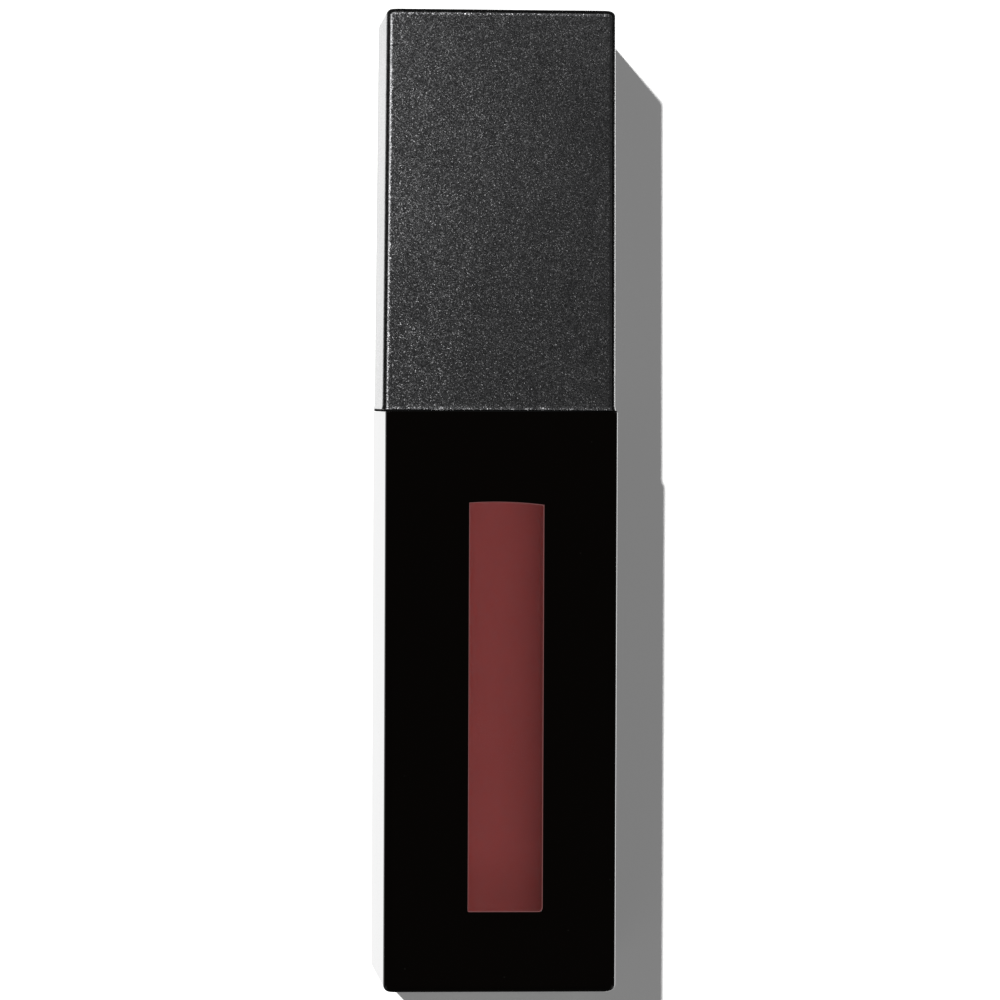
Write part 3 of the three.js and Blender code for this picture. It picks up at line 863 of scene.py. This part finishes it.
vial_mesh = threaded(vial_mesh, clear, vial_high.x - THREAD_RIDGE, sleeve_high.z + THREAD_START)
vial = new_piece("vial_visual", vial_mesh, clear, "bottle", "clear", "vial")

# %% [markdown]
# ## The product
# The liquid fills the chamber to just under its roof and creeps up the wall a little at its surface. The
# wand stands in a well through its middle.

# %% Build the product
colour_low, colour_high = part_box("lip_colour")
WELL_RADIUS = 2.35 * MM
WELL_FLOOR = 2.35 * MM
MENISCUS = 0.35 * MM
MENISCUS_REACH = 1.2 * MM
MENISCUS_STEPS = 5

colour_radius = colour_high.x
colour_rings = [
    oval_ring(radius, vial_spread, height)
    for height, radius in quarter_round(colour_low.z, colour_radius, CHAMBER_HEEL, head=False)
]
level = colour_high.z - MENISCUS
colour_rings.append(oval_ring(colour_radius, vial_spread, colour_high.z))
for step in range(1, MENISCUS_STEPS + 1):
    t = step / MENISCUS_STEPS
    reach = colour_radius - MENISCUS_REACH * t
    colour_rings.append(oval_ring(reach, vial_spread * (1 - 0.1 * t), level + MENISCUS * (1 - t) ** 2))
colour_rings.append(oval_ring(WELL_RADIUS, 0, level))
colour_rings.append(oval_ring(WELL_RADIUS, 0, chamber_low + WELL_FLOOR))
colour_mesh = skin("lip_colour", colour_rings)
product = new_piece("lip_colour_visual", colour_mesh, lip_colour, "bottle", "lip_colour", "lip_colour")

# %% [markdown]
# ## The shoulder plate
# A square black plate closes the top of the sleeve round the neck. Its outline is a square outside and a
# circle inside, and `skin` joins the two because both rings have the same number of points.

# %% Build the shoulder plate
HOLE_RADIUS = VIAL_RADIUS + FIT_GAP
HOLE_CHAMFER = 0.1 * MM


def ring_through(ring, radius, height):
    """A circle whose points lie in the same directions as those of another ring."""
    return [(*(Vector(point[:2]).normalized() * radius), height) for point in ring]


plate_rings = [square_ring(shoulder_high.x, INNER_CORNER, shoulder_low.z)]
plate_rings += [
    square_ring(half, INNER_CORNER, height)
    for height, half in quarter_round(shoulder_high.z, shoulder_high.x, RIM_RADIUS)
]
plate_rings += [
    ring_through(plate_rings[0], HOLE_RADIUS + HOLE_CHAMFER, shoulder_high.z),
    ring_through(plate_rings[0], HOLE_RADIUS, shoulder_high.z - HOLE_CHAMFER),
    ring_through(plate_rings[0], HOLE_RADIUS, shoulder_low.z),
]
plate_mesh = skin("shoulder_plate", plate_rings, closed=True)
new_piece("shoulder_plate_visual", plate_mesh, black_gloss, "bottle", "black_gloss", "shoulder_plate")

# %% [markdown]
# ## The wiper and the sealing liner
# The wiper is a soft ring in the neck: a flange on top, a sleeve, and a taper down to the lip that wipes the
# rod. The liner is a flat foam washer. Both are turned.

# %% Build the wiper and the liner
WIPER_LIP = 2.15 * MM
WIPER_LIP_WALL = 0.4 * MM
WIPER_WALL = 0.9 * MM
WIPER_FLANGE = 0.6 * MM
WIPER_SLEEVE = 6.4 * MM
LINER_BORE = 2.3 * MM
wiper_low, wiper_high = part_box("wiper")
liner_low, liner_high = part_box("sealing_liner")
wiper_outer = NECK_BORE - FIT_GAP
wiper_bore = wiper_outer - WIPER_WALL
taper_top = vial_high.z - WIPER_SLEEVE
flange_low = wiper_high.z - WIPER_FLANGE
wiper_profile = [
    (WIPER_LIP, wiper_low.z),
    (WIPER_LIP + WIPER_LIP_WALL, wiper_low.z),
    (wiper_outer, taper_top),
    (wiper_outer, flange_low),
    (wiper_high.x, flange_low),
    (wiper_high.x, wiper_high.z),
    (wiper_bore, wiper_high.z),
    (wiper_bore, taper_top),
]
wiper_mesh = turned("wiper", softened(wiper_profile, 0.18 * MM))
new_piece("wiper_visual", wiper_mesh, natural_plastic, "bottle", "natural_plastic", "wiper")
liner_profile = [
    (LINER_BORE, liner_low.z),
    (liner_high.x, liner_low.z),
    (liner_high.x, liner_high.z),
    (LINER_BORE, liner_high.z),
]
liner_mesh = turned("sealing_liner", softened(liner_profile, 0.15 * MM))
new_piece("sealing_liner_visual", liner_mesh, foam, "liner", "foam", "sealing_liner")

# %% [markdown]
# ## The inner cap
# A black moulding fills the cap: a cup with the female thread, a roof, a socket for the wand, and four ribs
# that centre it in the shell. The cup is turned, the square flange is skinned, and the two Geometry Nodes
# trees add the thread and the ribs.

# %% Build the inner cap
inner_low, inner_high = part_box("inner_cap")
CUP_BORE = 7.0 * MM
CUP_OUTER = 8.425 * MM
CUP_FLANGE = 1.5 * MM
SOCKET_RADIUS = 3.5 * MM
SOCKET_BORE = 2.05 * MM
ROOF_THICKNESS = 1.5 * MM
SOCKET_HEIGHT = 7.0 * MM
ROD_HEAD = 1.25 * MM
RIB_INNER = 3.25 * MM
RIB_SINK = 0.5 * MM
RIB_THICKNESS = 1.2 * MM

rod_low, rod_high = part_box("applicator_rod")
socket_top = rod_high.z - ROD_HEAD
roof_top = socket_top - SOCKET_HEIGHT
roof_low = roof_top - ROOF_THICKNESS
cup_profile = [
    (CUP_BORE, inner_low.z),
    (CUP_OUTER, inner_low.z),
    (CUP_OUTER, roof_top),
    (SOCKET_RADIUS, roof_top),
    (SOCKET_RADIUS, socket_top),
    (SOCKET_BORE, socket_top),
    (SOCKET_BORE, roof_low),
    (CUP_BORE, roof_low),
]
cup_mesh = turned("inner_cap", softened(cup_profile, 0.2 * MM))
flange_outline = square_ring(inner_high.x, INNER_CORNER, inner_low.z)
flange_rings = [
    flange_outline,
    square_ring(inner_high.x, INNER_CORNER, inner_low.z + CUP_FLANGE),
    ring_through(flange_outline, (CUP_BORE + CUP_OUTER) / 2, inner_low.z + CUP_FLANGE),
    ring_through(flange_outline, (CUP_BORE + CUP_OUTER) / 2, inner_low.z),
]
flange_mesh = skin("inner_cap_flange", flange_rings, closed=True)
cup_mesh = cut(cup_mesh, flange_mesh, "UNION")
cup_mesh = grown(
    cup_mesh,
    rib_tree,
    satin_black,
    Count=4.0,
    Inner_Radius=RIB_INNER,
    Outer_Radius=inner_high.x,
    Bottom=roof_top - RIB_SINK,
    Top=inner_high.z,
    Thickness=RIB_THICKNESS,
)
cup_mesh = threaded(
    cup_mesh,
    satin_black,
    vial_high.x + THREAD_GAP + THREAD_RIDGE,
    sleeve_high.z + THREAD_START + THREAD_PITCH / 2,
)
cup_mesh.transform(CAP_SEAT)
new_piece("inner_cap_visual", cup_mesh, satin_black, "cap", "black_plastic", "inner_cap")

# %% [markdown]
# ## The wand
# A stiff black rod hangs from the socket by its head and ends in the doe-foot: a soft core with a flocked
# skin, cut at a slant. The rod is turned. Its bore, where the core plugs in, stays open.

# %% Build the rod
tip_low, tip_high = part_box("applicator_flock")
ROD_RADIUS = 2.0 * MM
ROD_BORE = 1.2 * MM
ROD_BORE_DEPTH = 4.8 * MM
head_low = socket_top + FIT_GAP
rod_profile = [
    (ROD_BORE, rod_low.z + ROD_BORE_DEPTH),
    (ROD_BORE, rod_low.z),
    (ROD_RADIUS, rod_low.z),
    (ROD_RADIUS, head_low),
    (rod_high.x, head_low),
    (rod_high.x, rod_high.z),
]
rod_profile = softened(rod_profile, 0.15 * MM, closed=False)
rod_mesh = turned("applicator_rod", rod_profile, closed=False)
new_piece("applicator_rod_visual", rod_mesh, satin_black, "cap", "black_plastic", "applicator_rod")

# %% [markdown]
# ## The flocked tip
# The skin of the tip is a round-nosed finger with a slanted flat. Each ring of the finger is a circle whose
# front is pulled back to the slant. Thousands of short fibres stand on it. They are scattered by Geometry
# Nodes with a fixed seed, square to the skin but each with its own lean and length. The core is a thinner
# finger with the same slant. Its foot starts well inside the skin, so it never shows through.

# %% Build the skin of the tip
SLANT_LENGTH = 6.4 * MM
SMOOTH_PASSES = 4
skin_radius = tip_high.x - 0.08 * MM
slant_middle = tip_low.z + SLANT_LENGTH / 2
slant_slope = 2 * tip_high.x / SLANT_LENGTH
tip_rings = []
TIP_STEPS = 64
for step in range(TIP_STEPS + 1):
    rise = (step / TIP_STEPS) ** 1.3 * (tip_high.z - tip_low.z - 0.1 * MM) + 0.1 * MM
    nose = min(1, rise / skin_radius)
    radius = skin_radius * math.sqrt(max(0.05, 1 - (1 - nose) ** 2))
    height = tip_low.z + rise
    back = 0.6 * (skin_radius - radius)
    furthest = -(height - slant_middle) * slant_slope + 0.08 * MM
    ring = []
    for x, y, z in oval_ring(radius, 0, height):
        ring.append((x, max(y + back, min(furthest, back + 0.5 * radius)), z))
    tip_rings.append(ring)
tip_rings.append(oval_ring(1.75 * MM, 0, tip_high.z))
tip_mesh = skin("tip_skin", tip_rings)
soften = bmesh.new()
soften.from_mesh(tip_mesh)
for repeat in range(SMOOTH_PASSES):
    low_part = [vertex for vertex in soften.verts if vertex.co.z < tip_low.z + 1.3 * SLANT_LENGTH]
    bmesh.ops.smooth_vert(
        soften, verts=low_part, factor=0.5, use_axis_x=True, use_axis_y=True, use_axis_z=True
    )
soften.to_mesh(tip_mesh)
soften.free()

# %% Build the core
core_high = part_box("applicator_core")[1]
CORE_RADIUS = 1.4 * MM
CORE_PLUG = 1.15 * MM
CORE_DEPTH = 0.55 * MM
CORE_STEPS = 32
core_foot = tip_low.z + 2.4 * MM
core_neck = rod_low.z - FIT_GAP
core_rings = []
for step in range(CORE_STEPS + 1):
    along = step / CORE_STEPS
    height = core_foot + along * (core_neck - core_foot)
    radius = CORE_RADIUS * math.sqrt(min(1, 0.5 + along * 6))
    furthest = -(height - slant_middle) * slant_slope + CORE_DEPTH
    ring = []
    for x, y, z in oval_ring(radius, 0, height):
        ring.append((x, max(y, min(furthest, radius * 0.9)), z))
    core_rings.append(ring)
core_rings += [oval_ring(CORE_PLUG, 0, core_neck), oval_ring(CORE_PLUG, 0, core_high.z)]
core_mesh = skin("applicator_core", core_rings)
new_piece("applicator_core_visual", core_mesh, soft_core, "cap", "soft_core", "applicator_core")

# %% Fibre tree
fibre_tree, given = new_tree("fibres", ["Length", "Thickness", "Density"])
scatter = add(
    fibre_tree,
    "GeometryNodeDistributePointsOnFaces",
    {"Mesh": given["Geometry"], "Density": given["Density"], "Seed": 5},
)
lean = add(fibre_tree, "FunctionNodeRandomValue", data_type="FLOAT_VECTOR")
lean.inputs[0].default_value = (-0.5, -0.5, -3.0)
lean.inputs[1].default_value = (0.5, 0.5, 3.0)
lean.inputs["Seed"].default_value = 7
size = add(fibre_tree, "FunctionNodeRandomValue", data_type="FLOAT")
size.inputs[2].default_value = 0.7
size.inputs[3].default_value = 1.25
size.inputs["Seed"].default_value = 9
fibre = add(
    fibre_tree,
    "GeometryNodeMeshCone",
    {"Vertices": 3, "Radius Top": 0.0, "Radius Bottom": given["Thickness"], "Depth": given["Length"]},
    fill_type="NONE",
).outputs[0]
turn = add(fibre_tree, "FunctionNodeRotateEuler", rotation_type="EULER", space="LOCAL")
fibre_tree.links.new(scatter.outputs["Rotation"], turn.inputs["Rotation"])
fibre_tree.links.new(lean.outputs[0], turn.inputs["Rotate By"])
fibres = add(
    fibre_tree,
    "GeometryNodeInstanceOnPoints",
    {
        "Points": scatter.outputs["Points"],
        "Instance": fibre,
        "Rotation": turn.outputs[0],
        "Scale": size.outputs[1],
    },
).outputs[0]
both = add(fibre_tree, "GeometryNodeJoinGeometry")
fibre_tree.links.new(given["Geometry"], both.inputs[0])
fibre_tree.links.new(fibres, both.inputs[0])
close_tree(fibre_tree, both.outputs[0], given)

# %% Grow the flock
FIBRE_LENGTH = 0.16 * MM
FIBRE_THICKNESS = 0.014 * MM
FIBRES_PER_AREA = 6.0e7
fibre_sizes = {"Length": FIBRE_LENGTH, "Thickness": FIBRE_THICKNESS, "Density": FIBRES_PER_AREA}
tip_mesh = grown(tip_mesh, fibre_tree, flock, **fibre_sizes)
new_piece("applicator_flock_visual", tip_mesh, flock, "cap", "flock", "applicator_flock")

# %% [markdown]
# ## The base label
# A plain square of film with rounded corners, set in the recess under the base. It carries no print.

# %% Build the base label
LABEL_CORNER = 0.8 * MM
LABEL_EDGE = 0.02 * MM
label_rings = [
    square_ring(label_high.x - LABEL_EDGE, LABEL_CORNER, label_low.z),
    square_ring(label_high.x, LABEL_CORNER, label_low.z + LABEL_EDGE),
    square_ring(label_high.x, LABEL_CORNER, label_high.z),
]
label_mesh = skin("base_label", label_rings)
new_piece("base_label_visual", label_mesh, label_film, "bottle", "label", "base_label")

# %% [markdown]
# ## The stage
# The tube lies on its back on a white surface, which stands just behind it in this frame. The camera sees
# the surface and the shadow on it. Nothing else does, so it keeps no light from the tube, and a mix by
# Backfacing lets a view from behind look through it.

# %% Build the white surface
SURFACE_DEPTH = 10.08 * MM
SURFACE_HALF = 1.5
corners = [(-SURFACE_HALF, -SURFACE_HALF), (SURFACE_HALF, -SURFACE_HALF), (SURFACE_HALF, SURFACE_HALF)]
corners.append((-SURFACE_HALF, SURFACE_HALF))
surface_mesh = bpy.data.meshes.new("white_surface")
surface_mesh.from_pydata([(x, SURFACE_DEPTH, z) for x, z in corners], [], [(0, 1, 2, 3)])
white_surface = bpy.data.objects.new("white_surface", surface_mesh)
bpy.context.scene.collection.objects.link(white_surface)
paper, tree, shader = new_finish("white_surface", (0.9, 0.9, 0.9, 1), 1.0, Emission_Strength=0.17)
shader.inputs["Emission Color"].default_value = (1, 1, 1, 1)
shader.inputs["Specular IOR Level"].default_value = 0
fibres = object_noise(tree, scale=900.0, detail=2.0)
painted(tree, shader, fibres, (0.89, 0.89, 0.885, 1), (0.91, 0.91, 0.905, 1))
unseen = add(tree, "ShaderNodeBsdfTransparent")
back = add(tree, "ShaderNodeNewGeometry").outputs["Backfacing"]
blended(tree, back, shader, unseen)
surface_mesh.materials.append(paper)
for ray in ("diffuse", "glossy", "transmission", "shadow"):
    setattr(white_surface, "visible_" + ray, False)

# %% [markdown]
# ## The light
# One hard key light stands up and to the left of the camera. It leaves out the cap and the clear parts, which
# need softer light, and the product behind them. `new_light` makes a light that shines from a direction, and
# `collected` names the pieces that it reaches or leaves out.

# %% Light helpers
def new_light(name, kind, energy, direction, place=(0, 0, 0), **settings):
    """A light at a place, with the direction from what it lights towards the light."""
    light = bpy.data.lights.new(name, kind)
    light.energy = energy
    for option, value in settings.items():
        setattr(light, option, value)
    holder = bpy.data.objects.new(name, light)
    holder.location = place
    holder.rotation_euler = direction.to_track_quat("Z", "Y").to_euler()
    bpy.context.scene.collection.objects.link(holder)
    return holder


def collected(name, *things):
    """A collection of pieces."""
    made = bpy.data.collections.new(name)
    for thing in things:
        made.objects.link(thing)
    return made


# %% Key light
KEY_DIRECTION = Vector((-0.287, -0.917, 0.308))
key = new_light("key", "SUN", 4.6, KEY_DIRECTION, angle=math.radians(1.1))
left_out = collected("left_out_by_key", cap, product, pane, vial)
for entry in left_out.collection_objects:
    entry.light_linking.link_state = "EXCLUDE"
key.light_linking.receiver_collection = left_out

# %% [markdown]
# The product gets its own copy of the key light, which the sleeve's front wall doesn't block. In the real
# tube the light bends in the clear plastic and reaches the colour right up to the window's edge.

# %% Product light
PRODUCT_DIRECTION = Vector((-0.2, -0.94, 0.28))
product_light = new_light("product_light", "SUN", 3.95, PRODUCT_DIRECTION, angle=math.radians(20))
product_light.light_linking.receiver_collection = collected("product_only", product)
product_light.light_linking.blocker_collection = collected("product_light_blockers", cap)

# %% [markdown]
# Two soft lights serve the cap alone. The near one gives its face the fall from left to right. The high one
# draws a bright line along the cap's rounded top edge.

# %% Cap lights
CAP_LIGHT_PLACE = Vector((-78, -96, 88)) * MM
CAP_LIGHT_TARGET = Vector((0, -10, 77)) * MM
EDGE_LIGHT_PLACE = Vector((-70, -135, 245)) * MM
EDGE_LIGHT_TARGET = Vector((0, -10, 70)) * MM
cap_light = new_light(
    "cap_light",
    "AREA",
    0.088,
    CAP_LIGHT_PLACE - CAP_LIGHT_TARGET,
    CAP_LIGHT_PLACE,
    shape="ELLIPSE",
    size=50 * MM,
    size_y=70 * MM,
)
edge_light = new_light(
    "edge_light",
    "AREA",
    0.24,
    EDGE_LIGHT_PLACE - EDGE_LIGHT_TARGET,
    EDGE_LIGHT_PLACE,
    shape="DISK",
    size=80 * MM,
)
cap_only = collected("cap_only", cap)
for soft in (cap_light, edge_light):
    soft.light_linking.receiver_collection = cap_only
    soft.visible_camera = False

# %% [markdown]
# The room is dark in front of the tube, so that the black stays black, and bright in a band behind it, where
# the white surface would show in the sides at a flat angle. Low corners of light give the slanted views
# something to reflect, and a brighter patch behind the right side draws a fine line down that edge.

# %% Room
world = bpy.data.worlds.new("room")
bpy.context.scene.world = world
world.use_nodes = True
tree = world.node_tree
tree.nodes.clear()
direction = add(tree, "ShaderNodeTexCoord").outputs["Generated"]
axes = add(tree, "ShaderNodeSeparateXYZ", {"Vector": direction}).outputs
depth = axes["Y"]
aside = maths(tree, "ABSOLUTE", axes["X"])
above = maths(tree, "ABSOLUTE", axes["Z"])
base = spread(tree, depth, 0.018, 0.03, -0.2, 0.3)
level = spread(tree, above, 1.0, 0.0, 0.15, 0.4)
behind = spread(tree, depth, 0.0, 1.0, 0.05, 0.45)
horizon = maths(tree, "MULTIPLY", maths(tree, "MULTIPLY", level, behind), 1.2)
sideways = spread(tree, aside, 0.0, 1.0, 0.25, 0.6)
corner = maths(tree, "MULTIPLY", sideways, spread(tree, above, 0.0, 1.0, 0.18, 0.6))
glow = maths(tree, "MULTIPLY", corner, 0.22)
rim_side = maths(tree, "MULTIPLY_ADD", axes["X"], 0.5, maths(tree, "MULTIPLY", depth, 0.86))
rim = maths(tree, "MULTIPLY", spread(tree, rim_side, 0.0, 2.1, 0.85, 0.97), level)
brightness = maths(tree, "ADD", maths(tree, "ADD", base, horizon), maths(tree, "ADD", glow, rim))
seen = add(tree, "ShaderNodeLightPath").outputs["Is Camera Ray"]
tone = mixed(tree, seen, brightness, (0.85, 0.85, 0.86, 1))
room = add(tree, "ShaderNodeBackground", {"Color": tone, "Strength": 1.0})
add(tree, "ShaderNodeOutputWorld", {"Surface": room.outputs[0]})
